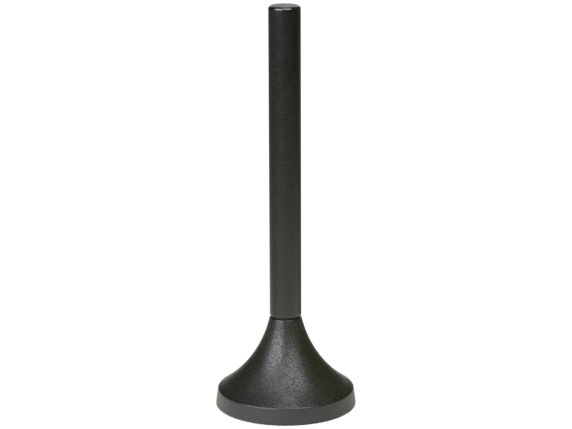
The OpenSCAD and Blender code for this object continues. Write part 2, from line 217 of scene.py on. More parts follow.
def blendColour(tree, mask, first, second):
    # first * (1 - mask) + second * mask, where the two are colours or outputs
    node = add(tree, "ShaderNodeMix", data_type="RGBA")
    join(tree, mask, node.inputs["Factor"])
    for key, colour in (("A", first), ("B", second)):
        slot = [s for s in node.inputs if s.name == key and s.type == "RGBA"][0]
        if isinstance(colour, (tuple, list)):
            slot.default_value = (*colour[:3], 1)
        else:
            join(tree, colour, slot)
    return [s for s in node.outputs if s.type == "RGBA"][0]


def newGroup(name, inputs, outputs):
    # Node group with the given sockets: (name, kind, default) in, (name, kind) out
    group = bpy.data.node_groups.new(name, "ShaderNodeTree")
    for label, kind, default in inputs:
        socket = group.interface.new_socket(label, in_out="INPUT", socket_type=kind)
        if default is not None:
            socket.default_value = default
    for label, kind in outputs:
        group.interface.new_socket(label, in_out="OUTPUT", socket_type=kind)
    return group, add(group, "NodeGroupInput"), add(group, "NodeGroupOutput")


def place(tree, group, vector, **values):
    # Shared effect placed in a material and read at vector, with its own values
    node = add(tree, "ShaderNodeGroup", node_tree=group)
    join(tree, vector, node.inputs["Vector"])
    for key, value in values.items():
        node.inputs[key].default_value = value
    return node


# Shared effects

def sparkGroup():
    # Spark-eroded mould texture. Height = noise * 0.25 - distance from the cell's
    # middle * 0.75. Fleck differs from cell to cell, so that some glint
    group, source, result = newGroup(
        "sparkErosion",
        [("Vector", "NodeSocketVector", None), ("Grain Size", "NodeSocketFloat", 0.0003)],
        [("Height", "NodeSocketFloat"), ("Fleck", "NodeSocketFloat")])
    scale = calculate(group, "DIVIDE", 1.0, source.outputs["Grain Size"])
    cells = add(group, "ShaderNodeTexVoronoi", feature="SMOOTH_F1")
    cells.inputs["Smoothness"].default_value = 0.5
    join(group, source.outputs["Vector"], cells.inputs["Vector"])
    join(group, scale, cells.inputs["Scale"])
    rough = noise(group, source.outputs["Vector"], 1, 2, 0.5)
    join(group, scale, rough.inputs["Scale"])
    domes = calculate(group, "MULTIPLY", cells.outputs["Distance"], -0.75)
    fine = calculate(group, "MULTIPLY", rough.outputs["Fac"], 0.25)
    join(group, calculate(group, "ADD", domes, fine), result.inputs["Height"])
    flecks = add(group, "ShaderNodeTexVoronoi", feature="F1")
    join(group, source.outputs["Vector"], flecks.inputs["Vector"])
    join(group, scale, flecks.inputs["Scale"])
    parts = add(group, "ShaderNodeSeparateColor")
    join(group, flecks.outputs["Color"], parts.inputs["Color"])
    join(group, parts.outputs["Red"], result.inputs["Fleck"])
    return group


def handlingGroup():
    # Uneven sheen that handling leaves: broad noise of the patch size. Dust is what
    # stands out of a noise nine times finer
    group, source, result = newGroup(
        "handlingSheen",
        [("Vector", "NodeSocketVector", None), ("Patch Size", "NodeSocketFloat", 0.006)],
        [("Sheen", "NodeSocketFloat"), ("Dust", "NodeSocketFloat")])
    scale = calculate(group, "DIVIDE", 1.0, source.outputs["Patch Size"])
    broad = noise(group, source.outputs["Vector"], 1, 2, 0.5)
    join(group, scale, broad.inputs["Scale"])
    fine = noise(group, source.outputs["Vector"], 1, 4, 0.7)
    join(group, calculate(group, "MULTIPLY", scale, 9.0), fine.inputs["Scale"])
    join(group, remap(group, broad.outputs["Fac"], 0.35, 0.65, 0.0, 1.0), result.inputs["Sheen"])
    join(group, remap(group, fine.outputs["Fac"], 0.62, 0.8, 0.0, 1.0), result.inputs["Dust"])
    return group


def drawnGroup():
    # Fine lines left by turning or drawing: noise of the line size, which the vector
    # stretches along one axis. Streak is the same noise with more contrast
    group, source, result = newGroup(
        "drawnLines",
        [("Vector", "NodeSocketVector", None), ("Line Size", "NodeSocketFloat", 0.0001)],
        [("Height", "NodeSocketFloat"), ("Streak", "NodeSocketFloat")])
    scale = calculate(group, "DIVIDE", 1.0, source.outputs["Line Size"])
    lines = noise(group, source.outputs["Vector"], 1, 4, 0.65)
    join(group, scale, lines.inputs["Scale"])
    join(group, lines.outputs["Fac"], result.inputs["Height"])
    join(group, remap(group, lines.outputs["Fac"], 0.4, 0.6, 0.0, 1.0), result.inputs["Streak"])
    return group


sparkErosion = sparkGroup()
handlingSheen = handlingGroup()
drawnLines = drawnGroup()
print("shared effects built")


# Materials

def objectVector(tree, stretch=(1, 1, 1)):
    # Object coordinates * stretch: a small factor draws a pattern out along its axis
    coordinate = add(tree, "ShaderNodeTexCoord")
    mapping = add(tree, "ShaderNodeMapping")
    mapping.inputs["Scale"].default_value = stretch
    join(tree, coordinate.outputs["Object"], mapping.inputs["Vector"])
    return mapping.outputs["Vector"]


def objectSplit(tree):
    # Object coordinates as the three outputs X, Y and Z
    coordinate = add(tree, "ShaderNodeTexCoord")
    split = add(tree, "ShaderNodeSeparateXYZ")
    join(tree, coordinate.outputs["Object"], split.inputs["Vector"])
    return split.outputs


def bump(tree, shader, height, strength, distance):
    # Normal tilted by the slope of height * distance
    node = add(tree, "ShaderNodeBump")
    node.inputs["Strength"].default_value = strength
    node.inputs["Distance"].default_value = distance
    join(tree, height, node.inputs["Height"])
    join(tree, node.outputs["Normal"], shader.inputs["Normal"])


def mottled(tree, vector, fleck, colour, spread, size):
    # colour * (1 - spread) to colour * (1 + spread), by the mean of the fleck, which
    # differs from cell to cell, and a soft noise of the given size
    soft = noise(tree, vector, 1 / size, 2, 0.6)
    both = calculate(tree, "ADD", fleck, remap(tree, soft.outputs["Fac"], 0.3, 0.7, 0.0, 1.0))
    low, high = (tuple(c * (1 + sign * spread) for c in colour) for sign in (-1, 1))
    return blendColour(tree, calculate(tree, "MULTIPLY", both, 0.5), low, high)


mastLook = {
    "colour": (0.0078, 0.0083, 0.0052), "flecked": 0.95, "mottleSize": 0.7 * mm,
    "dust": (0.10, 0.10, 0.095), "dusted": 0.10,
    "roughLow": 0.25, "roughHigh": 0.31, "sheenPatch": 7.0 * mm,
    "grainSize": 0.28 * mm, "grainDepth": 0.06 * mm,
    "lineSize": 0.4 * mm, "lineStretch": (1, 1, 0.05), "lineShare": 0.5,
    "tip": 109.0 * mm, "tipGloss": 1.6, "roughTip": 0.10,
    "glossStart": 0.9 * mm, "glossFull": 0.54 * mm, "glossEnd": 0.072 * mm,  # below the tip
}


def mastMaterial():
    # Satin black: mottled under a little dust, with fine lines along the tube. The
    # rounded edge of the tip is rubbed to a gloss, and its flat top is not
    look = mastLook
    material, tree, shader = newMaterial("mast_satin_black")
    vector = objectVector(tree)
    along = objectVector(tree, look["lineStretch"])
    sheen = place(tree, handlingSheen, vector, **{"Patch Size": look["sheenPatch"]})
    grain = place(tree, sparkErosion, vector, **{"Grain Size": look["grainSize"]})
    drawn = place(tree, drawnLines, along, **{"Line Size": look["lineSize"]})
    body = mottled(tree, vector, grain.outputs["Fleck"], look["colour"], look["flecked"],
                   look["mottleSize"])
    dust = calculate(tree, "MULTIPLY", sheen.outputs["Dust"], look["dusted"])
    join(tree, blendColour(tree, dust, body, look["dust"]), shader.inputs["Base Color"])
    plain = remap(tree, sheen.outputs["Sheen"], 0, 1, look["roughLow"], look["roughHigh"])
    start, full, end = (look["tip"] - look[key] for key in ("glossStart", "glossFull", "glossEnd"))
    z = objectSplit(tree)["Z"]
    edge = calculate(tree, "MULTIPLY", remap(tree, z, start, full, 0.0, 1.0),
                     remap(tree, z, end, look["tip"], 1.0, 0.0))
    join(tree, remap(tree, edge, 0, 1, plain, look["roughTip"]), shader.inputs["Roughness"])
    join(tree, edge, shader.inputs["Coat Weight"])
    shader.inputs["Coat Roughness"].default_value = look["roughTip"]
    shader.inputs["Coat IOR"].default_value = look["tipGloss"]
    lines = calculate(tree, "MULTIPLY", drawn.outputs["Height"], look["lineShare"])
    height = calculate(tree, "ADD", grain.outputs["Height"], lines)
    bump(tree, shader, height, 1.0, look["grainDepth"])
    return material


baseLook = {
    "colour": (0.0125, 0.0131, 0.0080), "flecked": 0.95,
    "rimColour": (0.0200, 0.0210, 0.0182), "rimFlecked": 0.25, "mottleSize": 0.6 * mm,
    "roughFlare": 0.42, "roughRim": 0.50, "roughEdge": 0.24,
    "roughUneven": 0.03, "sheenPatch": 6.0 * mm,
    "fleckLow": 0.45, "fleckHigh": 0.75,
    "glintLow": 0.08, "glintHigh": 0.62, "roughGlint": 0.23,
    "grainSize": 0.32 * mm, "grainDepth": 0.055 * mm, "rimGrain": 0.2,
    "rimTop": 4.6 * mm, "neckTop": 24.6 * mm, "edge": 0.25 * mm,
}


def baseMaterial():
    # Grained above the rim, where the cells with the highest flecks glint, nearly
    # smooth on it, and rubbed to a sheen along the two rounded edges
    look = baseLook
    material, tree, shader = newMaterial("base_spark_black")
    vector = objectVector(tree)
    z = objectSplit(tree)["Z"]
    flare = remap(tree, z, look["rimTop"], look["rimTop"] + look["edge"], 0.0, 1.0)
    spark = place(tree, sparkErosion, vector, **{"Grain Size": look["grainSize"]})
    sheen = place(tree, handlingSheen, vector, **{"Patch Size": look["sheenPatch"]})
    fleck = spark.outputs["Fleck"]
    below = mottled(tree, vector, fleck, look["rimColour"], look["rimFlecked"], look["mottleSize"])
    above = mottled(tree, vector, fleck, look["colour"], look["flecked"], look["mottleSize"])
    join(tree, blendColour(tree, flare, below, above), shader.inputs["Base Color"])
    edges = []
    for level in (look["rimTop"], look["neckTop"]):
        away = calculate(tree, "ABSOLUTE", calculate(tree, "SUBTRACT", z, level))
        edges.append(remap(tree, away, 0.0, 2 * look["edge"], 1.0, 0.0))
    rubbed = calculate(tree, "ADD", *edges)
    plain = remap(tree, flare, 0, 1, look["roughRim"], look["roughFlare"])
    rough = remap(tree, rubbed, 0, 1, plain, look["roughEdge"])
    uneven = remap(tree, sheen.outputs["Sheen"], 0, 1, -look["roughUneven"], look["roughUneven"])
    join(tree, calculate(tree, "ADD", rough, uneven), shader.inputs["Roughness"])
    glint = remap(tree, fleck, look["fleckLow"], look["fleckHigh"],
                  look["glintLow"], look["glintHigh"])
    join(tree, calculate(tree, "MULTIPLY", glint, flare), shader.inputs["Coat Weight"])
    shader.inputs["Coat Roughness"].default_value = look["roughGlint"]
    depth = remap(tree, flare, 0, 1, look["rimGrain"], 1.0)
    height = calculate(tree, "MULTIPLY", spark.outputs["Height"], depth)
    bump(tree, shader, height, 1.0, look["grainDepth"])
    return material


rubberLook = {
    "sheenPatch": 4.0 * mm, "roughSpread": 0.06,
    "dusted": 0.4, "dustGain": 2.2, "dustLift": 0.01,
    "grainStrength": 0.8, "grainDepth": 0.03 * mm,
}


def rubberMaterial(name, colour, grainSize, rough):
    # Dusty rubber: colour to colour * gain + lift by the dust, and rough - spread to
    # rough + spread by the sheen
    look = rubberLook
    material, tree, shader = newMaterial(name)
    vector = objectVector(tree)
    grain = place(tree, sparkErosion, vector, **{"Grain Size": grainSize})
    sheen = place(tree, handlingSheen, vector, **{"Patch Size": look["sheenPatch"]})
    pale = tuple(c * look["dustGain"] + look["dustLift"] for c in colour)
    dust = calculate(tree, "MULTIPLY", sheen.outputs["Dust"], look["dusted"])
    join(tree, blendColour(tree, dust, colour, pale), shader.inputs["Base Color"])
    join(tree, remap(tree, sheen.outputs["Sheen"], 0, 1, rough - look["roughSpread"],
                     rough + look["roughSpread"]), shader.inputs["Roughness"])
    bump(tree, shader, grain.outputs["Height"], look["grainStrength"], look["grainDepth"])
    return material


metalLook = {
    "sheenPatch": 3.0 * mm, "tarnished": 0.35,
    "lineSize": 0.12 * mm, "lineStrength": 0.5, "lineDepth": 0.012 * mm,
    "roughBelow": 0.05, "roughAbove": 0.07,
}


def metalMaterial(name, colour, rough, stretch, tarnish):
    # Metal with lines along its length or round it: colour to colour * tarnish by the
    # sheen, and roughness by the lines
    look = metalLook
    material, tree, shader = newMaterial(name)
    shader.inputs["Metallic"].default_value = 1.0
    lines = place(tree, drawnLines, objectVector(tree, stretch), **{"Line Size": look["lineSize"]})
    sheen = place(tree, handlingSheen, objectVector(tree), **{"Patch Size": look["sheenPatch"]})
    dull = tuple(c * t for c, t in zip(colour, tarnish))
    patches = calculate(tree, "MULTIPLY", sheen.outputs["Sheen"], look["tarnished"])
    join(tree, blendColour(tree, patches, colour, dull), shader.inputs["Base Color"])
    join(tree, remap(tree, lines.outputs["Streak"], 0, 1, rough - look["roughBelow"],
                     rough + look["roughAbove"]), shader.inputs["Roughness"])
    bump(tree, shader, lines.outputs["Height"], look["lineStrength"], look["lineDepth"])
    return material


nylonLook = {
    "colour": (0.78, 0.76, 0.70), "aged": (0.70, 0.67, 0.59), "agedShare": 0.5,
    "sheenPatch": 2.0 * mm, "roughLow": 0.38, "roughHigh": 0.5,
    "grainSize": 0.2 * mm, "grainStrength": 0.5, "grainDepth": 0.01 * mm,
    "milky": 0.1, "milkyReach": (1.0 * mm, 1.0 * mm, 0.8 * mm),
}


def nylonMaterial():
    # Milky nylon: colour to a yellower one by the sheen, with light spread inside it
    look = nylonLook
    material, tree, shader = newMaterial("natural_nylon")
    vector = objectVector(tree)
    sheen = place(tree, handlingSheen, vector, **{"Patch Size": look["sheenPatch"]})
    grain = place(tree, sparkErosion, vector, **{"Grain Size": look["grainSize"]})
    patches = calculate(tree, "MULTIPLY", sheen.outputs["Sheen"], look["agedShare"])
    join(tree, blendColour(tree, patches, look["colour"], look["aged"]),
         shader.inputs["Base Color"])
    shader.inputs["Subsurface Weight"].default_value = look["milky"]
    shader.inputs["Subsurface Radius"].default_value = look["milkyReach"]
    join(tree, remap(tree, sheen.outputs["Sheen"], 0, 1, look["roughLow"], look["roughHigh"]),
         shader.inputs["Roughness"])
    bump(tree, shader, grain.outputs["Height"], look["grainStrength"], look["grainDepth"])
    return material


# Mast tube

mastShape = {
    "wall": 1.0 * mm, "tipWall": 1.5 * mm,
    "tipRound": 0.8 * mm, "footRound": 0.4 * mm,
    "flangeSeat": 0.4 * mm, "flangeHeight": 0.8 * mm,
    "turns": 192, "sharp": 40,
}


def mastTube():
    # Profile (r, z): flat tip, quarter arc, side, quarter arc, foot, then up the
    # counterbore and the bore to the inside of the tip
    s = mastShape
    low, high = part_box("mast_tube")
    r, foot, tip = high.x, low.z, high.z
    tipRound, footRound = s["tipRound"], s["footRound"]
    bore = r - s["wall"]
    seat = bore + s["flangeSeat"]
    seatTop = foot + s["flangeHeight"]
    roof = tip - s["tipWall"]
    profile = joined(
        line((0, tip), (r - tipRound, tip), 5),
        arc((r - tipRound, tip - tipRound), tipRound, 90, 0, 10),
        line((r, tip - tipRound), (r, foot + footRound), 60),
        arc((r - footRound, foot + footRound), footRound, 0, -90, 8),
        (seat, foot), (seat, seatTop), (bore, seatTop),
        line((bore, seatTop), (bore, roof), 8), (0, roof))
    piece = outwards(lathe("mast_tube_moulding", profile, s["turns"]))
    smoothed(piece, s["sharp"])
    piece.data.materials.append(mastMaterial())
    return piece


# Base housing

baseShape = {
    "radius": 19.0 * mm, "rimHeight": 4.3 * mm, "rimDraft": 7.0, "rimRound": 0.7 * mm,
    "neckRadius": 4.25 * mm, "neckTaper": 15.0, "neckRound": 0.3 * mm,
    "shoulderSlope": 55.5, "flareRadius": 31.0 * mm,
    "rimStart": 1.0 * mm, "footRound": 0.15 * mm,
    "shellWall": 1.7 * mm, "rimWall": 2.0 * mm,
    "bushRadius": 2.8 * mm, "bushFlange": 1.0 * mm, "bossWall": 1.4 * mm, "coreGap": 1.0 * mm,
    "ribs": 6, "ribThick": 1.0 * mm, "ribReach": 4.5 * mm,
    "plateThick": 0.4 * mm, "plateInset": 1.5 * mm, "plateGap": 0.3 * mm, "slipGap": 0.05 * mm,
    "outletRadius": 1.5 * mm, "outletWall": 1.0 * mm, "outletLength": 9.0 * mm,
    "outletChamfer": 0.3 * mm, "outletHeight": 7.9 * mm,
    "turns": 256, "boreTurns": 64, "sharp": 30,
}


def unit(v):
    # v / length of v
    return np.array(v) / np.linalg.norm(v)


def roundedCorner(corner, before, after, radius, steps):
    # Arc tangent to the two sides that leave the corner along before and after
    u, v = unit(before), unit(after)
    half = math.acos(float(np.dot(u, v))) / 2
    centre = corner + unit(u + v) * radius / math.sin(half)
    start = corner + u * radius / math.tan(half) - centre
    end = corner + v * radius / math.tan(half) - centre
    a0 = math.atan2(start[1], start[0])
    a1 = math.atan2(end[1], end[0])
    turn = (a1 - a0 + math.pi) % (2 * math.pi) - math.pi
    return arc(centre, radius, math.degrees(a0), math.degrees(a0 + turn), steps)


def flareFrame(low, high):
    # The blend arc between the neck's slope and the shoulder's slope: the two
    # lines meet at a point, and the arc's centre lies on their bisector
    s = baseShape
    rim = np.array([s["radius"] - s["rimHeight"] * math.tan(math.radians(s["rimDraft"])),
                    low.z + s["rimHeight"]])
    neck = np.array([s["neckRadius"], high.z])
    taper, slope = math.radians(s["neckTaper"]), math.radians(s["shoulderSlope"])
    run = rim[0] - neck[0] + rim[1] * math.tan(slope) - neck[1] * math.tan(taper)
    meetZ = run / (math.tan(slope) - math.tan(taper))
    meet = np.array([rim[0] - (meetZ - rim[1]) * math.tan(slope), meetZ])
    middle, half = (taper + slope) / 2, (slope - taper) / 2
    away = np.array([math.cos(middle), math.sin(middle)])
    centre = meet + away * s["flareRadius"] / math.cos(half)
    return rim, neck, centre


def insideCurve(centre, inset, inner, outer, steps):
    # (r, z) run inset from the outside, from radius inner down to radius outer: an
    # arc about the flare's centre, and the shoulder's straight slope below it
    reach = baseShape["flareRadius"] + inset
    slope = math.radians(baseShape["shoulderSlope"])
    start = math.degrees(math.acos((centre[0] - inner) / reach))
    curve = arc(centre, reach, 180 + start, 180 + baseShape["shoulderSlope"], steps)
    last = curve[-1]
    return joined(curve, (outer, last[1] - (outer - last[0]) / math.tan(slope)))


def housingOutside(low, high, rim, neck, centre):
    # Profile (r, z): flat top, rounded neck edge, flare's arc, rounded rim edge, rim
    # drafted outwards, rounded foot, and in to the axis
    s = baseShape
    taper, slope, draft = (math.radians(s[key]) for key in
                           ("neckTaper", "shoulderSlope", "rimDraft"))
    neckDown = (math.sin(taper), -math.cos(taper))
    shoulderUp = (-math.sin(slope), math.cos(slope))
    rimDown = np.array([math.sin(draft), -math.cos(draft)])
    foot = np.array([s["radius"], low.z])
    profile = joined(
        (0, high.z), line((0, high.z), (neck[0] - s["neckRound"], high.z), 6)[1:-1],
        roundedCorner(neck, (-1, 0), neckDown, s["neckRound"], 8),
        arc(centre, s["flareRadius"], 180 + s["neckTaper"], 180 + s["shoulderSlope"], 90),
        roundedCorner(rim, shoulderUp, rimDown, s["rimRound"], 8),
        line(rim + rimDown * s["rimStart"], foot, 8)[:-1],
        roundedCorner(foot, -rimDown, (-1, 0), s["footRound"], 4),
        (0, low.z))
    return outwards(lathe("base_housing_moulding", profile, s["turns"]))


def outletNose(rim):
    # Half circle on upright sides that stand on the rim, carried in from the mouth
    s = baseShape
    radius = s["outletRadius"] + s["outletWall"]
    sill = rim[1] - s["rimRound"]
    top = arc((0, s["outletHeight"]), radius, 0, 180, 32)
    outline = joined(top, (-radius, sill), (radius, sill))
    return outwards(prism("nose", outline, s["outletLength"] - radius - s["outletWall"],
                          lambda x, y, d: np.stack([x, s["radius"] - d, y], 1)))


def housingHollow(low, centre):
    # Moulded hollow as a solid: the bush boss's end, its side, then the inside of the
    # flare and of the rim, and out below the foot
    s = baseShape
    boss = s["bushRadius"] + s["bossWall"]
    inside = insideCurve(centre, s["shellWall"], boss + s["coreGap"],
                         s["radius"] - s["rimWall"], 30)
    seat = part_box("neck_bush")[0].z + s["bushFlange"]
    under = low.z - s["coreGap"]
    profile = joined((0, seat), (boss, seat), (boss, inside[0, 1]), inside,
                     (inside[-1, 0], under), (0, under))
    return outwards(lathe("hollow", profile, s["turns"] // 2))


def cupRib(centre, angle):
    # Stepped rib that seats the cup's top and side, as a prism across its radius.
    # Its top runs up to the middle of the shell's wall
    s = baseShape
    cup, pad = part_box("magnet_cup")[1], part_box("base_pad")[1]
    plate = cup.z + s["plateThick"] + s["plateGap"]
    seat = cup.x - s["plateInset"] + s["plateGap"]
    side = cup.x + s["slipGap"]
    inner, outer = cup.x - s["ribReach"], s["radius"] - s["rimWall"] / 2
    top = insideCurve(centre, s["shellWall"] / 2, inner, outer, 16)
    outline = joined(top, (outer, pad.z), (side, pad.z), (side, cup.z), (seat, cup.z),
                     (seat, plate), (inner, plate))
    c, t = math.cos(angle), math.sin(angle)

    def carry(r, z, d):
        # (r, across) turned by the angle, where across is measured from the rib's middle
        across = d - s["ribThick"] / 2
        return np.stack([r * c - across * t, r * t + across * c, z], 1)

    return outwards(prism("rib", outline, s["ribThick"], carry))


def outletBar(name, profile):
    # Surface of revolution about the outlet's line: (r, depth), where depth runs in
    # from the mouth, so y = radius of the base - depth
    bar = lathe(name, profile, baseShape["boreTurns"])
    points = np.empty(len(bar.data.vertices) * 3)
    bar.data.vertices.foreach_get("co", points)
    x, z, depth = points.reshape(-1, 3).T
    turned = np.stack([x, baseShape["radius"] - depth, baseShape["outletHeight"] + z], 1)
    bar.data.vertices.foreach_set("co", turned.ravel())
    return outwards(bar)


def outletTube():
    # Round tube for the cable, solid as yet, from inside the nose to the outlet's end
    s = baseShape
    radius, start, end = s["outletRadius"] + s["outletWall"], s["coreGap"], s["outletLength"]
    return outletBar("outlet_tube", joined((0, start), (radius, start), (radius, end), (0, end)))


def outletBore():
    # Cable's bore through nose and tube, with a 45 degree chamfer at the mouth
    s = baseShape
    bore, chamfer = s["outletRadius"], s["outletChamfer"]
    out, end = -s["coreGap"], s["outletLength"] + s["coreGap"]
    return outletBar("outlet_bore", joined((0, out), (bore + chamfer - out, out),
                                           (bore, chamfer), (bore, end), (0, end)))


def bushBore(high):
    # Straight bore down through the neck for the bush
    s = baseShape
    above = high.z + s["coreGap"]
    profile = joined((0, above), (s["bushRadius"], above), (s["bushRadius"], 0), (0, 0))
    return outwards(lathe("bush_bore", profile, s["boreTurns"]))


def baseHousing():
    # Outside + nose - hollow + ribs + outlet tube - bush's bore - cable's bore
    s = baseShape
    low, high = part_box("base_housing")
    rim, neck, centre = flareFrame(low, high)
    piece = housingOutside(low, high, rim, neck, centre)
    combine(piece, outletNose(rim), "UNION")
    combine(piece, housingHollow(low, centre), "DIFFERENCE")
    for i in range(s["ribs"]):
        combine(piece, cupRib(centre, i * 2 * math.pi / s["ribs"]), "UNION")
    combine(piece, outletTube(), "UNION")
    combine(piece, bushBore(high), "DIFFERENCE")
    combine(piece, outletBore(), "DIFFERENCE")
    smoothed(outwards(piece), s["sharp"])
    piece.data.materials.clear()
    piece.data.materials.append(baseMaterial())
    return piece


# Washer between the mast and the neck

washerShape = {
    "bore": 2.1 * mm, "turns": 128, "sharp": 50,
    "colour": (0.012, 0.012, 0.011), "grainSize": 0.2 * mm, "rough": 0.6,
}


def sealWasher():
    # Ring of a closed profile (r, z): flat faces, and outside a half circle, because
    # the mast's screw squeezes it
    s = washerShape
    low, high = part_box("seal_washer")
    mid, half = (low.z + high.z) / 2, (high.z - low.z) / 2
    bulge = arc((high.x - half, mid), half, 90, -90, 10)
    profile = joined((s["bore"], high.z), bulge, (s["bore"], low.z))
    faces = bands(len(profile), s["turns"], closed=True)
    piece = meshObject("seal_washer_moulding", revolved(profile, s["turns"]), faces)
    smoothed(outwards(piece), s["sharp"])
    piece.data.materials.append(rubberMaterial("washer_rubber", s["colour"], s["grainSize"],
                                               s["rough"]))
    return piece


mast = mastTube()
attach(mast, "root")
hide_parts("mast_tube")
housing = baseHousing()
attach(housing, "root")
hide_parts("base_housing")
washer = sealWasher()
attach(washer, "root")
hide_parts("seal_washer")
print("mouldings built:", [len(o.data.polygons) for o in (mast, housing, washer)], "faces")


# Finish of the inner nodes: colour, roughness, stretch of its lines, tarnish

nodeFinish = {
    "base_pad": rubberMaterial("pad_rubber", (0.03, 0.03, 0.03), 0.6 * mm, 0.7),
    "tip_spider": nylonMaterial(),
    "radiator_rod": metalMaterial("drawn_brass", (0.80, 0.60, 0.26), 0.22, (1, 1, 0.03),
                                  (0.75, 0.65, 0.5)),
    "loading_coil": metalMaterial("enamelled_copper", (0.76, 0.34, 0.16), 0.25, (0.3, 0.3, 1),
                                  (0.7, 0.55, 0.5)),
    "mast_ferrule": metalMaterial("nickel_plate", (0.72, 0.69, 0.63), 0.2, (0.05, 0.05, 1),
                                  (0.85, 0.8, 0.72)),
    "neck_bush": metalMaterial("turned_brass", (0.78, 0.58, 0.25), 0.28, (0.05, 0.05, 1),
                               (0.7, 0.6, 0.5)),
    "feed_tag": metalMaterial("tin_plate", (0.72, 0.73, 0.74), 0.32, (1, 0.1, 1),
                              (0.8, 0.8, 0.8)),
    "feed_screw": metalMaterial("zinc_plate", (0.62, 0.64, 0.66), 0.3, (0.1, 0.1, 1),
                                (0.8, 0.82, 0.85)),
    "magnet_cup": metalMaterial("cup_zinc_plate", (0.58, 0.60, 0.62), 0.34, (0.1, 0.1, 1),
                                (0.8, 0.82, 0.85)),
    "magnet": metalMaterial("magnet_plate", (0.64, 0.63, 0.62), 0.26, (1, 1, 1),
                            (0.85, 0.82, 0.8)),
}
sharedFinish = {
    "coil_former": "tip_spider", "lock_washer": "feed_screw", "earth_plate": "feed_tag",
}
for name, owner in sharedFinish.items():
    nodeFinish[name] = nodeFinish[owner]
for name, material in nodeFinish.items():
    slots = nodes[name].data.materials
    slots.clear()
    slots.append(material)
print("finishes placed on", len(nodeFinish), "inner nodes")


# Studio

studio = {
    # Floor, and the rings round the object's foot in which its white and, wider, its glow set in;
    # the glow's fade there is a painted shadow round the foot
    "floorSize": 3.0, "floorColour": (0.87, 0.86, 0.82),
    "floorGlow": 0.75, "glowColour": (1.0, 1.0, 0.72),
    "floorWhite": 1.04, "shadowKept": 0.08,
    "under": 18.9 * mm, "underCamera": 19.1 * mm, "glowShadeReach": 20.6 * mm,
    # Backdrop and room by the direction's height, width and side
    "sky": 0.002, "backFoot": 0.5, "backLow": 0.2, "backHigh": 0.35, "backEnd": 0.55,
    "backWide": 0.20, "backSide": 0.42,
    "room": 0.10, "roomStart": 0.3, "roomFull": 0.6, "roomColour": (1.0, 1.0, 0.1),
    # Black card: its size, and how much of it is open in front and behind
    "flagStart": 0.05, "flagFull": 0.33, "flagReach": 2.9, "flagHeight": 0.5 * mm,
    "flagTurns": 96, "flagTurn": 20,
    "frontStart": -0.2, "frontFull": 0.2, "sideStart": -0.5, "sideFull": 0.5,
    "openLeft": 0.50, "openRight": 0.20, "openFar": 0.17,
    "backNear": 0.10, "backFar": 0.22,
}


def seenMask(tree):
    # 1 for rays from the camera and for those that gloss or glass sends on
    path = add(tree, "ShaderNodeLightPath")
    both = calculate(tree, "ADD", path.outputs["Is Camera Ray"], path.outputs["Is Glossy Ray"])
    every = calculate(tree, "ADD", both, path.outputs["Is Transmission Ray"])
    return calculate(tree, "MINIMUM", every, 1.0)


def fromAxis(tree, spot):
    # sqrt(x^2 + y^2)
    squares = [calculate(tree, "MULTIPLY", spot[key], spot[key]) for key in ("X", "Y")]
    return calculate(tree, "POWER", calculate(tree, "ADD", *squares), 0.5)


def whiteFloor():
    # In reflections lit paper + glow, whose fade towards the foot is painted shadow. To
    # the camera white * (1 - kept share) + lit paper * kept share, which keeps the
    # object's shadow. Under the object it is lit paper alone, so that the foot meets it in
    # a dark line
    size = studio["floorSize"]
    points = np.array([[-size, -size, 0], [size, -size, 0], [size, size, 0], [-size, size, 0]])
    floor = meshObject("floor", points, [[0, 1, 2, 3]])
    material, tree, shader = newMaterial("floor_white")
    material.cycles.emission_sampling = "NONE"  # not sampled as a lamp
    shader.inputs["Base Color"].default_value = (*studio["floorColour"], 1)
    shader.inputs["Roughness"].default_value = 1.0
    shader.inputs["Specular IOR Level"].default_value = 0.0
    across = fromAxis(tree, objectSplit(tree))
    clear = remap(tree, across, studio["under"], studio["underCamera"], 0.0, 1.0)
    # Glow faded out towards the foot: a painted shadow round it, mostly in reflections
    paintedShadeFade = remap(tree, across, studio["under"], studio["glowShadeReach"], 0.0, 1.0)
    glow = add(tree, "ShaderNodeEmission")
    glow.inputs["Color"].default_value = (*studio["glowColour"], 1)
    strength = calculate(tree, "MULTIPLY", seenMask(tree), studio["floorGlow"])
    join(tree, calculate(tree, "MULTIPLY", strength, paintedShadeFade), glow.inputs["Strength"])
    both = add(tree, "ShaderNodeAddShader")
    join(tree, shader.outputs["BSDF"], both.inputs[0])
    join(tree, glow.outputs["Emission"], both.inputs[1])
    white = add(tree, "ShaderNodeEmission")
    white.inputs["Strength"].default_value = studio["floorWhite"]
    mix = add(tree, "ShaderNodeMixShader")
    path = add(tree, "ShaderNodeLightPath")
    share = calculate(tree, "MULTIPLY", path.outputs["Is Camera Ray"], 1 - studio["shadowKept"])
    join(tree, calculate(tree, "MULTIPLY", share, clear), mix.inputs["Fac"])
    join(tree, both.outputs["Shader"], mix.inputs[1])
    join(tree, white.outputs["Emission"], mix.inputs[2])
    join(tree, mix.outputs["Shader"], tree.nodes["Material Output"].inputs["Surface"])
    floor.data.materials.append(material)


def facing(tree, spot, across):
    # Cosine of the angle between a spot's direction and the flag's front, where the
    # front is turned from the camera's side: (x sin t - y cos t) / across
    turn = math.radians(studio["flagTurn"])
    side = calculate(tree, "MULTIPLY", spot["X"], math.sin(turn))
    ahead = calculate(tree, "MULTIPLY", spot["Y"], math.cos(turn))
    return calculate(tree, "DIVIDE", calculate(tree, "SUBTRACT", side, ahead), across)


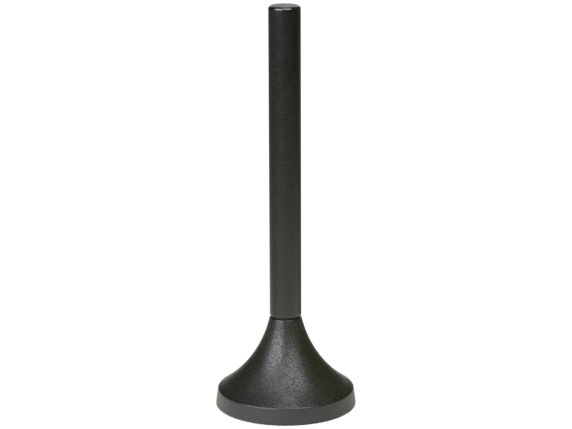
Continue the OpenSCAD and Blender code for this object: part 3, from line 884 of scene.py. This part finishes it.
def whiteWorld():
    # White to the camera. In reflections a backdrop, rise * fall * sides, that stands
    # behind the object only and ends in the dark above it, and a dim yellow-green
    # room on the right. To all other rays the sky's low level
    world = bpy.data.worlds.new("studio")
    bpy.context.scene.world = world
    world.use_nodes = True
    world.cycles.sampling_method = "NONE"  # not sampled as a lamp
    tree = world.node_tree
    background = tree.nodes["Background"]
    coordinate = add(tree, "ShaderNodeTexCoord")
    split = add(tree, "ShaderNodeSeparateXYZ")
    join(tree, coordinate.outputs["Generated"], split.inputs["Vector"])
    z = split.outputs["Z"]
    rise = remap(tree, z, 0.0, studio["backLow"], studio["backFoot"], 1.0)
    fall = remap(tree, z, studio["backHigh"], studio["backEnd"], 1.0, 0.0)
    wide = calculate(tree, "ABSOLUTE", split.outputs["X"])
    sides = remap(tree, wide, studio["backWide"], studio["backSide"], 1.0, 0.0)
    back = calculate(tree, "GREATER_THAN", split.outputs["Y"], 0.0)
    behind = calculate(tree, "MULTIPLY", sides, back)
    backdrop = calculate(tree, "MULTIPLY", calculate(tree, "MULTIPLY", rise, fall), behind)
    seen = seenMask(tree)
    unseen = calculate(tree, "SUBTRACT", 1.0, seen)
    level = calculate(tree, "ADD", calculate(tree, "MULTIPLY", seen, backdrop),
                      calculate(tree, "MULTIPLY", unseen, studio["sky"]))
    path = add(tree, "ShaderNodeLightPath")
    right = remap(tree, split.outputs["X"], studio["roomStart"], studio["roomFull"], 0.0, 1.0)
    room = calculate(tree, "MULTIPLY", right, path.outputs["Is Glossy Ray"])
    join(tree, blendColour(tree, room, (1, 1, 1), studio["roomColour"]),
         background.inputs["Color"])
    level = calculate(tree, "ADD", level, calculate(tree, "MULTIPLY", room, studio["room"]))
    join(tree, calculate(tree, "MAXIMUM", level, path.outputs["Is Camera Ray"]),
         background.inputs["Strength"])


def blackFlag():
    # Black card round the object, flat on the floor, that only reflections see. It
    # is opaque but for a share: in front that share falls with distance to nothing,
    # and behind it falls from left to right and, less, with distance
    inner, turns = studio["flagStart"], studio["flagTurns"]
    ring = [(inner, studio["flagHeight"]), (studio["flagReach"], studio["flagHeight"])]
    flag = meshObject("black_flag", revolved(ring, turns), bands(2, turns))
    material, tree, shader = newMaterial("flag_black")
    shader.inputs["Base Color"].default_value = (0, 0, 0, 1)
    shader.inputs["Specular IOR Level"].default_value = 0.0
    spot = objectSplit(tree)
    across = fromAxis(tree, spot)
    front = remap(tree, facing(tree, spot, across), studio["frontStart"],
                  studio["frontFull"], 0.0, 1.0)
    openFront = remap(tree, across, inner, studio["flagFull"], 1.0, 0.0)
    sideways = calculate(tree, "DIVIDE", spot["X"], across)
    openNear = remap(tree, sideways, studio["sideStart"], studio["sideFull"],
                     studio["openLeft"], studio["openRight"])
    openBack = remap(tree, across, studio["backNear"], studio["backFar"],
                     openNear, studio["openFar"])
    share = remap(tree, front, 0.0, 1.0, openBack, openFront)
    join(tree, calculate(tree, "SUBTRACT", 1.0, share), shader.inputs["Alpha"])
    flag.data.materials.append(material)
    flag.visible_camera = False
    flag.visible_diffuse = False
    flag.visible_shadow = False


softboxes = {
    "left_softbox": {"azimuth": -43.9, "elevation": 28.9, "distance": 0.9,
                     "size": (0.88, 0.56), "radiance": 5.4, "colour": (0.98, 0.98, 1.08)},
    "right_softbox": {"azimuth": 33.8, "elevation": 49.5, "distance": 0.9,
                      "size": (0.60, 0.67), "radiance": 2.6, "colour": (1.0, 1.0, 1.03)},
}
aim = 0.04  # height that the softboxes face
panels = {
    "ceiling_panel": {"location": (-0.125, -0.545, 1.04), "size": (1.63, 0.79),
                      "radiance": 1.75, "colour": (0.98, 0.98, 1.10)},
    "rear_panel": {"location": (0.045, 0.015, 1.04), "size": (0.22, 0.33),
                   "radiance": 3.7, "colour": (0.98, 0.98, 1.10)},
}


def panelLamp(name, location, size, radiance, colour, turn=(0, 0, 0)):
    # Flat lamp of even radiance: power = radiance * pi * width * height
    lamp = bpy.data.lights.new(name, "AREA")
    lamp.color = colour
    lamp.shape = "RECTANGLE"
    lamp.size, lamp.size_y = size
    lamp.energy = radiance * math.pi * size[0] * size[1]
    piece = bpy.data.objects.new(name, lamp)
    piece.location = location
    piece.rotation_euler = turn
    bpy.context.scene.collection.objects.link(piece)


def softbox(name, azimuth, elevation, distance, size, radiance, colour):
    # On a sphere round the base, facing it: location = distance * (cos e sin a,
    # -cos e cos a, sin e), where a is from the camera's side, positive to the right
    a, e = math.radians(azimuth), math.radians(elevation)
    location = (distance * math.cos(e) * math.sin(a), -distance * math.cos(e) * math.cos(a),
                aim + distance * math.sin(e))
    panelLamp(name, location, size, radiance, colour, (math.pi / 2 - e, 0, a))


view = {
    "location": (0.21 * mm, -0.5458, 0.1937), "pitch": 14.47, "roll": -0.197,
    "lens": 133.1, "sensor": 36, "farthest": 20,
}


def makeCamera():
    # Looks along +Y, turned down by the pitch, then about its own line by the roll
    lens = bpy.data.cameras.new("camera")
    lens.lens = view["lens"]
    lens.sensor_width = view["sensor"]
    lens.clip_end = view["farthest"]
    camera = bpy.data.objects.new("camera", lens)
    camera.location = view["location"]
    tilt = Matrix.Rotation(math.radians(90 - view["pitch"]), 3, "X")
    roll = Matrix.Rotation(math.radians(view["roll"]), 3, "Z")
    camera.rotation_euler = (tilt @ roll).to_euler()
    bpy.context.scene.collection.objects.link(camera)
    bpy.context.scene.camera = camera


whiteFloor()
whiteWorld()
blackFlag()
for name, values in softboxes.items():
    softbox(name, **values)
for name, values in panels.items():
    panelLamp(name, **values)
makeCamera()
bpy.context.scene.view_settings.view_transform = "Standard"
print("studio set")
